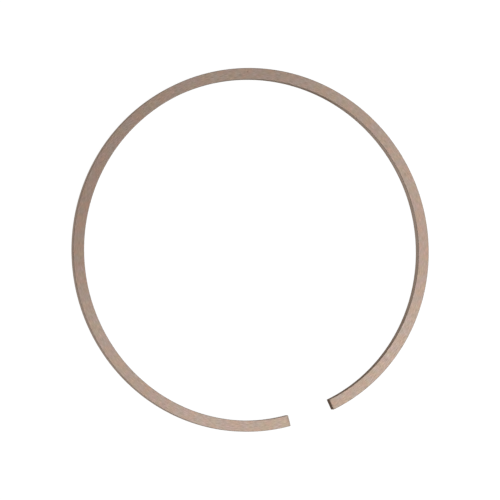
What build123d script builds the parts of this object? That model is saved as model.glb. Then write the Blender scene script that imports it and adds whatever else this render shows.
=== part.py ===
from build123d import *
import os
from math import cos, degrees, pi, sin

# A split metal seal ring, lying flat and free, as it is before it is pressed into its bore.
# The ring is one piece of plain rectangular section, cut through once, with straight butt ends.
# Frame: +Z up, the lower side face on z = 0, the gap on the -Y side and the back on the +Y side.
# The origin is the middle of the ring's own box, at the level of the lower side face.

# Driving dimensions, in millimetres
bore_diameter = 100.0  # the bore that the ring closes into, and its outer diameter when closed
radial_wall = 3.15  # from the inner face to the outer, running face
axial_width = 2.5  # from one side face to the other
working_gap = 0.3  # between the two ends while the ring is closed in its bore
free_opening = 12.7  # how much further apart the ends stand when free, as thin-ring theory counts it
edge_break = 0.12  # radius that lapping and deburring leave on every edge

# The free ring is an even chain of tangent arcs, each a little flatter or rounder than the next.
arc_count = 15

# Worked out from the driving dimensions
neutral_radius = (bore_diameter - radial_wall) / 2
middle_length = 2 * pi * neutral_radius - working_gap
arc_length = middle_length / arc_count
tension = free_opening / (3 * pi * neutral_radius)


def normal_angle(length_from_back):
    """Angle of the outward normal at a length measured along the ring from its back.

    The closed ring presses evenly on its bore all round, so the bending that closes it grows
    from nothing at the ends to its most at the back, as 1 + cos of the angle from the back.
    The free ring lacks that share of its curvature, and the curvature summed from the back
    is this angle.
    """
    turned = length_from_back / neutral_radius
    return pi / 2 + turned - tension * (turned + sin(turned))


def outlines():
    """The outer and inner outlines of the free ring, as two chains of arcs from end to end.

    Each pair of arcs shares the centre of the arc that the middle of the wall follows there.
    """
    outer, inner = [], []
    x, y = 0.0, 0.0
    for number in range(arc_count):
        start_angle = normal_angle(number * arc_length - middle_length / 2)
        end_angle = normal_angle((number + 1) * arc_length - middle_length / 2)
        turn = end_angle - start_angle
        radius = arc_length / turn
        centre_x = x - radius * cos(start_angle)
        centre_y = y - radius * sin(start_angle)
        for chain, offset in ((outer, radial_wall / 2), (inner, -radial_wall / 2)):
            arc = CenterArc((centre_x, centre_y), radius + offset, degrees(start_angle), degrees(turn))
            chain.append(arc)
        x = centre_x + radius * cos(end_angle)
        y = centre_y + radius * sin(end_angle)
    return outer, inner


def seal_ring():
    """The wall between the two outlines, cut square at both ends, with every edge broken."""
    outer, inner = outlines()
    first_end = Line(inner[0] @ 0, outer[0] @ 0)
    last_end = Line(outer[-1] @ 1, inner[-1] @ 1)
    side_face = make_face([*outer, last_end, *inner, first_end])
    ring = extrude(side_face, amount=axial_width)
    flat_faces = ring.faces().filter_by(GeomType.PLANE)
    ring = fillet(flat_faces.edges(), edge_break)
    box = ring.bounding_box()
    return ring.translate((-box.center().X, -box.center().Y, -box.min.Z))


os.makedirs("parts", exist_ok=True)
export_step(seal_ring(), "parts/seal_ring.step")
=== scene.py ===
from math import radians

import bpy
import numpy as np
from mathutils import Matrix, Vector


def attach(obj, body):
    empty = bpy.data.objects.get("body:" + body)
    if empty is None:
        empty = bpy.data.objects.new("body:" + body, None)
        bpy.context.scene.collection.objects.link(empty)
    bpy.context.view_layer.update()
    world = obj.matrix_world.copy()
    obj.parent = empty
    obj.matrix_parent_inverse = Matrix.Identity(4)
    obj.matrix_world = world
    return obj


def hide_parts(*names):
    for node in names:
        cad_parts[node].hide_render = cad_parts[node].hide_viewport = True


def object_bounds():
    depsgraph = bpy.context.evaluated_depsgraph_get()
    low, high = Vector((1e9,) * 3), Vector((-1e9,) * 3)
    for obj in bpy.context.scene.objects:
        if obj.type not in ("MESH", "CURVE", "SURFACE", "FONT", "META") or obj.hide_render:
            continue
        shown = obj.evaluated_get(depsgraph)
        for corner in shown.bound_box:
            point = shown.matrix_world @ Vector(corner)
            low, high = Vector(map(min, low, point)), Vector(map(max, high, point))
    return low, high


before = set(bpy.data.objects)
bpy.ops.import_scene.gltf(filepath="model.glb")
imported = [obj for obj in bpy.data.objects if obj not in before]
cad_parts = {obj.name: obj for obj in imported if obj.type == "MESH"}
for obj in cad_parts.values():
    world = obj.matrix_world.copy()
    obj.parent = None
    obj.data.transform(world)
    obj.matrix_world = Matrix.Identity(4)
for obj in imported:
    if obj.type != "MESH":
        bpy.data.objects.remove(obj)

# A split metal seal ring on a pale table, seen from nearly overhead.
# Metres, in the part's own frame: +Z up, the gap on the -Y side, the lower side face on z = 0.

MM = 0.001
RING = "seal_ring"
CAD_LOW, CAD_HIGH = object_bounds()

# The ring's own sizes. The axial width comes from the frame.
BORE_DIAMETER = 100.0 * MM
RADIAL_WALL = 3.15 * MM
AXIAL_WIDTH = CAD_HIGH.z - CAD_LOW.z
WORKING_GAP = 0.3 * MM
FREE_OPENING = 12.7 * MM
EDGE_BREAK = 0.12 * MM
END_BREAK = 0.11 * MM  # on the edges round each end, a little less, so that no corner shrinks to a point

NEUTRAL_RADIUS = (BORE_DIAMETER - RADIAL_WALL) / 2
HALF_LENGTH = np.pi * NEUTRAL_RADIUS - WORKING_GAP / 2
TENSION = FREE_OPENING / (3 * np.pi * NEUTRAL_RADIUS)

# The zones of the ring's surface, in the order of its materials.
LAPPED_SIDE, RUNNING_FACE, BORED_FACE, BROKEN_EDGE, CUT_END = range(5)

# How finely the ring is drawn.
LINE_POINTS = 8001  # on the middle of the wall, where it is summed
EVEN_STATIONS = 901  # from end to end
PIT_STATIONS = 25  # more of them over each pit, to PIT_SPAN of its radii on both sides
PIT_SPAN = 3
CORNER_POINTS = 6  # on each quarter circle of an edge
# The section's four sides, outwards first and then upwards, with the stretches across each.
SIDES = ((RUNNING_FACE, 10), (LAPPED_SIDE, 30), (BORED_FACE, 10), (LAPPED_SIDE, 8))

# Small pits in the upper side face: length from the back, offset from the middle, radius, depth.
PITS = np.array([
    (-15.45, 0.57, 0.20, 0.05),
    (-13.03, -0.26, 0.21, 0.04),
    (-25.13, 0.77, 0.16, 0.03),
]) * MM
PIT_STAINS = (0.6, 0.12, 0.4)  # how strongly each pit is stained
PIT_FALL = 8  # power of the height above the middle, by which the pits fade below the upper face

# The share of brown film and painted shade on the section's edges: lower outer, upper outer, upper
# inner, lower inner. On the two lower edges it is painted contact shadow, where the ring meets the
# table.
EDGE_FILM_AND_SHADE = (1.0, 0.2, 0.3, 1.0)
END_FILM = 0.7  # on the edges round each end
# Painted shade on the inner wall, darkened with the film's brown: length from the back, reach, share.
INNER_WALL_SHADE_PATCHES = ((-151.0 * MM, 46.0 * MM, 0.44), (-37.0 * MM, 9.0 * MM, 0.36))
END_STAIN = 0.5  # how strongly the side face is stained right at a cut end
STAIN_REACH = 0.25 * MM  # how far that stain creeps onto the side face

# Where the patterns of the side face are counted from. The drift's start was chosen so that its
# broad light and dark patches lie as on the ring.
WARM_START = (300.0 * MM, 200.0 * MM, 100.0 * MM)
DRIFT_START = (784.0 * MM, 910.0 * MM, 0)
DRIFT_SHARE = 0.35

# Lapping marks: their directions in radians, and their size. Real ones are about 0.01 mm wide,
# and are drawn coarser so that they can be seen.
MARK_TURNS = (0.2, 1.3, 2.3)
MARK_LENGTH, MARK_WIDTH, MARK_DEPTH = 4.0 * MM, 0.09 * MM, 0.004 * MM

# The part of a noise that is spread to its whole range.
NOISE_LOW, NOISE_HIGH = 0.3, 0.7

# The camera, fitted to the photograph's outline of the ring. The lens and sensor are in millimetres.
CAMERA_PLACE = (-205.92 * MM, 26.16 * MM, 723.15 * MM)
CAMERA_TURN = (3.407, -15.627, -19.825)
CAMERA_LENS = 190.28
SENSOR_WIDTH = 36.0

# The light table: its half width, its level just under the ring, its grey and its glow.
TABLE_HALF = 3.0
TABLE_LEVEL = -0.05 * MM
TABLE_GREY = "#595959"
TABLE_GLOW = 0.97

# The room's even light, and the softbox.
ROOM_COLOUR = "#FFF6F1"
ROOM_LIGHT = 0.32
SOFTBOX_COLOUR = "#EBF7FF"
SOFTBOX_SIZE = (1.0, 0.35)
SOFTBOX_POWER = 1.74
SOFTBOX_PLACE = (0.153, -0.143, 0.35)
SOFTBOX_TURN = 22.0

# Sockets of a Mix node that blends colours: its two inputs and its result.
MIX_A, MIX_B, MIX_RESULT = 6, 7, 2


def linear(hex_colour):
    """An sRGB hex colour as a linear red, green, blue and alpha."""
    code = hex_colour.lstrip("#")
    srgb = np.array([int(code[i:i + 2], 16) for i in (0, 2, 4)]) / 255
    lit = np.where(srgb <= 0.04045, srgb / 12.92, ((srgb + 0.055) / 1.055) ** 2.4)
    return (*lit.tolist(), 1.0)


def free_line(lengths):
    """Places x, y and outward normal angles of the middle of the wall, at lengths from the back.

    The normal's angle is pi/2 + u - K (u + sin u), with u the length over the neutral radius and
    K the share of curvature that the free ring lacks. The place is the running sum of small steps
    at a right angle to the normal, by the trapezium rule, read off at the lengths asked for.
    """
    fine = np.linspace(-HALF_LENGTH, HALF_LENGTH, LINE_POINTS)
    turned = fine / NEUTRAL_RADIUS
    angle = np.pi / 2 + turned - TENSION * (turned + np.sin(turned))
    step = fine[1] - fine[0]
    along_x, along_y = -np.sin(angle), np.cos(angle)
    x = np.concatenate([[0], np.cumsum(along_x[1:] + along_x[:-1]) * step / 2])
    y = np.concatenate([[0], np.cumsum(along_y[1:] + along_y[:-1]) * step / 2])
    return [np.interp(lengths, fine, values) for values in (x, y, angle)]


def section_outline(inset):
    """The wall's rounded rectangular section, once around, for each inset of its outline.

    Each corner is a quarter circle of the edge break's radius about its own centre, and each flat
    is an even run from one corner to the next. An inset moves every point inwards along its own
    normal. Returns the outward offsets and heights by inset and point, the distance around at each
    point, the share of brown film and painted shade on each point, and the zone of each stretch.
    """
    half_wall, half_width = RADIAL_WALL / 2 - EDGE_BREAK, AXIAL_WIDTH / 2 - EDGE_BREAK
    corners = np.array([(1, -1), (1, 1), (-1, 1), (-1, -1)]) * (half_wall, half_width)
    quarter = np.linspace(-np.pi / 2, 0, CORNER_POINTS)
    centres, angles, film_and_shade_parts, zones = [], [], [], []
    for number, (side_zone, stretches) in enumerate(SIDES):
        corner, following = corners[number], corners[(number + 1) % 4]
        run = np.linspace(0, 1, stretches + 1)[1:-1, None]
        centres += [np.tile(corner, (len(quarter), 1)), corner * (1 - run) + following * run]
        angles += [quarter + number * np.pi / 2, np.full(len(run), number * np.pi / 2)]
        film_and_shade_parts += [np.full(len(quarter), EDGE_FILM_AND_SHADE[number]), np.zeros(len(run))]
        zones += [BROKEN_EDGE] * (len(quarter) - 1) + [side_zone] * stretches
    centre, angle = np.concatenate(centres), np.concatenate(angles)
    normal = np.stack([np.cos(angle), np.sin(angle)], 1)
    points = centre + normal * (EDGE_BREAK - inset[:, None, None])
    whole = centre + normal * EDGE_BREAK
    steps = np.linalg.norm(np.roll(whole, -1, axis=0) - whole, axis=1)
    around = np.concatenate([[0], np.cumsum(steps)])
    film_and_shade = np.concatenate(film_and_shade_parts)
    return points[..., 0], points[..., 1] + AXIAL_WIDTH / 2, around, film_and_shade, np.array(zones)


def ring_stations():
    """Lengths along the ring and how far the section draws in at each.

    The stations are even along the ring, and closer over each pit. At each end the last ones
    follow the broken edge, a quarter circle: the section draws in by r (1 - cos t) while it
    advances by r sin t.
    """
    turn = np.linspace(0, np.pi / 2, CORNER_POINTS)[1:]
    inner_end = HALF_LENGTH - END_BREAK
    over_pit = np.linspace(-PIT_SPAN, PIT_SPAN, PIT_STATIONS)
    close = [length + radius * over_pit for length, _, radius, _ in PITS]
    middle = np.unique(np.concatenate([np.linspace(-inner_end, inner_end, EVEN_STATIONS), *close]))
    advance, draw_in = END_BREAK * np.sin(turn), END_BREAK * (1 - np.cos(turn))
    lengths = np.concatenate([(-inner_end - advance)[::-1], middle, inner_end + advance])
    insets = np.concatenate([draw_in[::-1], np.zeros(len(middle)), draw_in])
    return lengths, insets


def pit_share(lengths, offset):
    """How deep each point lies in each pit, from 0 to 1: exp(-(distance / radius)^2)."""
    share = []
    for length, middle, radius, _ in PITS:
        distance_2 = (lengths[:, None] - length) ** 2 + (offset - middle) ** 2
        share.append(np.exp(-distance_2 / radius ** 2))
    return np.array(share)


def film_and_shade_share(lengths, insets, offset, section_film_and_shade):
    """The share of brown film and painted shade on each point, the largest of three.

    They are the section's own share on its edges, painted contact shadow on the lower two, a thick
    film on both rounded ends, and on the inner half the painted shade patches' share times
    exp(-(distance along / reach)^2).
    """
    patches = []
    # Painted shade patches along the inner wall.
    for middle, reach, share in INNER_WALL_SHADE_PATCHES:
        patches.append(share * np.exp(-((lengths - middle) / reach) ** 2))
    inner = np.where(offset < 0, np.max(patches, 0)[:, None], 0)
    ends = (insets > 0)[:, None] * END_FILM
    return np.maximum(np.maximum(inner, section_film_and_shade), ends)


def stain_share(lengths, pits):
    """The share of dark stain on each point, the larger of two.

    They are the stain of the pits, and near each end END_STAIN times exp(-distance / reach).
    """
    from_end = HALF_LENGTH - np.abs(lengths)
    pitted = np.tensordot(PIT_STAINS, pits, 1)
    return np.maximum(pitted, END_STAIN * np.exp(-from_end / STAIN_REACH)[:, None])


def grid_faces(rows, columns):
    """Quads of a grid that closes on itself along its columns, wound to face outwards."""
    row, column = np.meshgrid(np.arange(rows - 1), np.arange(columns), indexing="ij")
    beside = (column + 1) % columns
    below, above = row * columns, (row + 1) * columns
    corners = [below + column, above + column, above + beside, below + beside]
    return np.stack(corners, -1).reshape(-1, 4)


def make_ring(materials):
    """The seal ring: its section carried along the free line, with a flat face over each end.

    A point of the grid at (length, around) is the line's place plus the section's outward offset
    along the normal, at the section's height, less the depth of the pits on the upper face. The
    whole is then fitted to the box of the ring's solid, whose arcs are cut into short chords.
    """
    lengths, insets = ring_stations()
    x, y, angle = free_line(lengths)
    offset, height, around, section_film_and_shade, zones = section_outline(insets)
    upper = np.clip((height - AXIAL_WIDTH / 2) / (AXIAL_WIDTH / 2), 0, 1) ** PIT_FALL
    pits = pit_share(lengths, offset) * upper
    height = height - np.tensordot(PITS[:, 3], pits, 1)
    place_x = x[:, None] + offset * np.cos(angle)[:, None]
    place_y = y[:, None] + offset * np.sin(angle)[:, None]
    places = np.stack([place_x, place_y, height], -1)
    low, high = places.min((0, 1)), places.max((0, 1))
    box_low, box_high = np.array(CAD_LOW), np.array(CAD_HIGH)
    places = box_low + (places - low) * (box_high - box_low) / (high - low)

    rows, columns = height.shape
    quads = grid_faces(rows, columns)
    first_end = np.arange(columns)
    last_end = np.arange(columns)[::-1] + (rows - 1) * columns
    faces = [*quads.tolist(), first_end.tolist(), last_end.tolist()]
    mesh = bpy.data.meshes.new("finished_seal_ring")
    mesh.from_pydata(places.reshape(-1, 3).tolist(), [], faces)

    zone = np.tile(zones, rows - 1)
    zone[np.repeat(np.diff(insets) != 0, columns)] = BROKEN_EDGE
    zone = np.append(zone, [CUT_END, CUT_END])
    for material in materials:
        mesh.materials.append(material)
    mesh.polygons.foreach_set("material_index", zone.astype(np.int32))
    mesh.polygons.foreach_set("use_smooth", zone != CUT_END)

    # The map in metres: along the ring and around its section, and across each flat end.
    row, column = np.divmod(np.arange(len(quads)), columns)
    run = np.stack([lengths[row], lengths[row + 1], lengths[row + 1], lengths[row]], 1)
    one_side, other_side = around[column], around[column + 1]
    way_round = np.stack([one_side, one_side, other_side, other_side], 1)
    wall_map = np.stack([run, way_round], -1).reshape(-1, 2)
    end_maps = [np.stack([offset[end], height[end]], 1) for end in (0, -1)]
    every_map = np.concatenate([wall_map, end_maps[0], end_maps[1][::-1]])
    layer = mesh.uv_layers.new(name="along_and_around")
    layer.data.foreach_set("uv", every_map.astype(np.float32).ravel())

    # film_and_shade: brown film, with painted contact shadow on the lower edges and painted shade
    # patches on the inner wall.
    shares = {
        "stain": stain_share(lengths, pits),
        "film_and_shade": film_and_shade_share(lengths, insets, offset, section_film_and_shade),
    }
    for name, values in shares.items():
        attribute = mesh.attributes.new(name, "FLOAT", "POINT")
        attribute.data.foreach_set("value", values.astype(np.float32).ravel())

    ring = bpy.data.objects.new("finished_seal_ring", mesh)
    bpy.context.scene.collection.objects.link(ring)
    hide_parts(RING)
    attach(ring, "root")


def add(tree, kind, links=None, **settings):
    """Adds one shader node with its settings; links gives sockets their values or sources."""
    node = tree.nodes.new(kind)
    for name, value in settings.items():
        setattr(node, name, value)
    for socket, value in (links or {}).items():
        if isinstance(value, bpy.types.NodeSocket):
            tree.links.new(value, node.inputs[socket])
        else:
            node.inputs[socket].default_value = value
    return node


def start_metal(name):
    """A new metal with its node tree, its shader, and its Object and UV coordinates."""
    material = bpy.data.materials.new(name)
    material.use_nodes = True
    tree = material.node_tree
    shader = tree.nodes["Principled BSDF"]
    shader.inputs["Metallic"].default_value = 1.0
    places = add(tree, "ShaderNodeTexCoord")
    return material, tree, shader, places.outputs["Object"], places.outputs["UV"]


def streaks(tree, space, length, width, turn=0.0, start=(0, 0, 0), detail=2.0, low=0.0, high=1.0):
    """Soft random streaks of a length and width, turned by an angle, as a value from low to high.

    Noise read in coordinates counted from a start and divided by the streak's own sizes, with its
    middle part spread to the whole range. Equal sizes give patches.
    """
    sized = add(tree, "ShaderNodeMapping", {
        "Vector": space, "Location": start, "Rotation": (0, 0, turn), "Scale": (length, width, width),
    }, vector_type="TEXTURE")
    noise = add(tree, "ShaderNodeTexNoise", {
        "Vector": sized.outputs["Vector"], "Scale": 1.0, "Detail": detail,
    })
    spread = add(tree, "ShaderNodeMapRange", {
        "Value": noise.outputs["Fac"], "From Min": NOISE_LOW, "From Max": NOISE_HIGH,
        "To Min": low, "To Max": high,
    })
    return spread.outputs["Result"]


def blend(tree, factor, first, second):
    """A colour between two, each a socket or an sRGB hex colour, by a factor."""
    ends = [linear(end) if isinstance(end, str) else end for end in (first, second)]
    links = {"Factor": factor, MIX_A: ends[0], MIX_B: ends[1]}
    return add(tree, "ShaderNodeMix", links, data_type="RGBA").outputs[MIX_RESULT]


def emboss(tree, height, depth, normal=None):
    """A surface normal that follows a height, with a depth in metres, over another normal."""
    links = {"Height": height, "Distance": depth, "Strength": 1.0}
    if normal is not None:
        links["Normal"] = normal
    return add(tree, "ShaderNodeBump", links).outputs["Normal"]


def lapped_bronze():
    """Tin bronze turned, then lapped on a flat plate with loose grit.

    It gives the eye a matte, pinkish tan face with a soft sheen and smooth rosy and olive patches.
    Faint turning lines run along the ring, under fine lapping marks that cross every way. The
    patches' colours are extremes, which only show mixed.
    """
    material, tree, shader, place, lay = start_metal("lapped_bronze")
    small_patches = streaks(tree, place, 1.6 * MM, 1.6 * MM, detail=0.0)
    rosy = blend(tree, small_patches, "#B5AB95", "#CF9F93")
    large_patches = streaks(tree, place, 2.2 * MM, 2.2 * MM, start=WARM_START, detail=0.0)
    warm = blend(tree, large_patches, "#BAA5A6", "#C9A483")
    colour = blend(tree, 0.5, rosy, warm)
    broad_patches = streaks(tree, place, 30.0 * MM, 30.0 * MM, start=DRIFT_START, detail=0.0)
    drift = blend(tree, broad_patches, "#CFBAA9", "#B39183")
    colour = blend(tree, DRIFT_SHARE, colour, drift)
    lines = streaks(tree, lay, 1.4 * MM, 0.12 * MM)
    colour = blend(tree, lines, colour, "#9A8574")
    stain = add(tree, "ShaderNodeAttribute", attribute_name="stain").outputs["Fac"]
    colour = blend(tree, stain, colour, "#6A5348")
    tree.links.new(colour, shader.inputs["Base Color"])
    roughness = streaks(tree, lay, 1.5 * MM, 0.15 * MM, low=0.42, high=0.48)
    tree.links.new(roughness, shader.inputs["Roughness"])
    normal = None
    for turn in MARK_TURNS:
        marks = streaks(tree, place, MARK_LENGTH, MARK_WIDTH, turn)
        normal = emboss(tree, marks, MARK_DEPTH, normal)
    tree.links.new(normal, shader.inputs["Normal"])
    return material


def turned_bronze():
    """Tin bronze turned on the running face, then heat set.

    It gives the eye a dull, warm tan wall with fine tool lines that run along it. Its tan and its
    specular tint are darker than the side face's: partly a thin brown film, partly painted shade
    where the wall mirrors the shaded table beside the ring.
    """
    material, tree, shader, _, lay = start_metal("turned_bronze")
    colour = blend(tree, streaks(tree, lay, 5.0 * MM, 1.2 * MM), "#B5A396", "#A59387")
    tree.links.new(colour, shader.inputs["Base Color"])
    # A dim specular tint, partly painted shade on the wall.
    shader.inputs["Specular Tint"].default_value = linear("#A8A5A2")
    roughness = streaks(tree, lay, 3.0 * MM, 0.15 * MM, low=0.38, high=0.55)
    tree.links.new(roughness, shader.inputs["Roughness"])
    lines = streaks(tree, lay, 30.0 * MM, 0.08 * MM)
    tree.links.new(emboss(tree, lines, 0.006 * MM), shader.inputs["Normal"])
    return material


def bored_bronze():
    """Tin bronze bored with a coarser feed, whose brown film was not rubbed off.

    It gives the eye a duller, darker inner wall. Its tone and dim specular tint are partly that
    film and partly painted shade, where the wall mirrors the shaded table beside the ring; it is
    browner still in painted shade patches and along its lower edge.
    """
    material, tree, shader, _, lay = start_metal("bored_bronze")
    colour = blend(tree, streaks(tree, lay, 5.0 * MM, 1.2 * MM), "#B9A99E", "#AB9B8E")
    # The film's brown: on the lower edge and in the patches it is painted shade.
    film_and_shade = add(tree, "ShaderNodeAttribute", attribute_name="film_and_shade").outputs["Fac"]
    colour = blend(tree, film_and_shade, colour, "#6C5B4F")
    tree.links.new(colour, shader.inputs["Base Color"])
    # A dim specular tint, partly painted shade on the inner wall.
    shader.inputs["Specular Tint"].default_value = linear("#6A6563")
    roughness = streaks(tree, lay, 3.0 * MM, 0.15 * MM, low=0.38, high=0.55)
    tree.links.new(roughness, shader.inputs["Roughness"])
    lines = streaks(tree, lay, 30.0 * MM, 0.12 * MM)
    tree.links.new(emboss(tree, lines, 0.01 * MM), shader.inputs["Normal"])
    return material


def rubbed_bronze():
    """Tin bronze whose edges were broken by hand with a fine stone.

    It gives the eye a soft, slightly darker line, brown where the stone left the film on, and
    brown on the two lower edges as painted contact shadow where the ring meets the table.
    """
    material, tree, shader, place, _ = start_metal("rubbed_bronze")
    colour = blend(tree, streaks(tree, place, 1.5 * MM, 1.5 * MM), "#AD9C8F", "#9A897C")
    # The film's brown, which on the lower edges is painted contact shadow.
    film_and_shade = add(tree, "ShaderNodeAttribute", attribute_name="film_and_shade").outputs["Fac"]
    colour = blend(tree, film_and_shade, colour, "#5E4F45")
    tree.links.new(colour, shader.inputs["Base Color"])
    shader.inputs["Specular Tint"].default_value = linear("#8A8583")
    roughness = streaks(tree, place, 0.6 * MM, 0.6 * MM, low=0.4, high=0.5)
    tree.links.new(roughness, shader.inputs["Roughness"])
    return material


def sawn_bronze():
    """Tin bronze sawn through and left so: a dark brown end with fine marks across the wall. Its
    dark brown is partly painted shade, the shade in the gap between the ends.
    """
    material, tree, shader, _, lay = start_metal("sawn_bronze")
    # Dark browns, partly painted shade in the gap between the ends.
    colour = blend(tree, streaks(tree, lay, 1.0 * MM, 0.6 * MM), "#6E5C4E", "#57483B")
    tree.links.new(colour, shader.inputs["Base Color"])
    shader.inputs["Specular Tint"].default_value = linear("#B6B2B0")
    shader.inputs["Roughness"].default_value = 0.5
    marks = streaks(tree, lay, 5.0 * MM, 0.09 * MM)
    tree.links.new(emboss(tree, marks, 0.01 * MM), shader.inputs["Normal"])
    return material


def make_floor():
    """A plain pale light table, far wider than the ring, that glows from below."""
    ways = ((-1, -1), (1, -1), (1, 1), (-1, 1))
    corners = [(TABLE_HALF * way_x, TABLE_HALF * way_y, TABLE_LEVEL) for way_x, way_y in ways]
    mesh = bpy.data.meshes.new("light_table")
    mesh.from_pydata(corners, [], [(0, 1, 2, 3)])
    floor = bpy.data.objects.new("light_table", mesh)
    bpy.context.scene.collection.objects.link(floor)
    material = bpy.data.materials.new("opal_acrylic")
    material.use_nodes = True
    shader = material.node_tree.nodes["Principled BSDF"]
    shader.inputs["Base Color"].default_value = linear(TABLE_GREY)
    shader.inputs["Roughness"].default_value = 0.9
    shader.inputs["Emission Color"].default_value = linear("#FFFFFF")
    shader.inputs["Emission Strength"].default_value = TABLE_GLOW
    mesh.materials.append(material)


def make_camera():
    """The photograph's camera: a long lens, a little to one side of overhead."""
    data = bpy.data.cameras.new("camera")
    data.lens = CAMERA_LENS
    data.sensor_width = SENSOR_WIDTH
    camera = bpy.data.objects.new("camera", data)
    camera.location = CAMERA_PLACE
    camera.rotation_euler = [radians(turn) for turn in CAMERA_TURN]
    bpy.context.scene.collection.objects.link(camera)
    bpy.context.scene.camera = camera


def make_light():
    """Even white surroundings and one large softbox that favours the ring's lower right."""
    world = bpy.data.worlds.new("studio")
    world.use_nodes = True
    background = world.node_tree.nodes["Background"]
    background.inputs["Color"].default_value = linear(ROOM_COLOUR)
    background.inputs["Strength"].default_value = ROOM_LIGHT
    bpy.context.scene.world = world
    data = bpy.data.lights.new("softbox", "AREA")
    data.shape = "RECTANGLE"
    data.size, data.size_y = SOFTBOX_SIZE
    data.color = linear(SOFTBOX_COLOUR)[:3]
    data.energy = SOFTBOX_POWER
    softbox = bpy.data.objects.new("softbox", data)
    softbox.location = SOFTBOX_PLACE
    softbox.rotation_euler = (0, 0, radians(SOFTBOX_TURN))
    bpy.context.scene.collection.objects.link(softbox)
    bpy.context.scene.view_settings.view_transform = "Standard"


make_ring([lapped_bronze(), turned_bronze(), bored_bronze(), rubbed_bronze(), sawn_bronze()])
make_floor()
make_camera()
make_light()
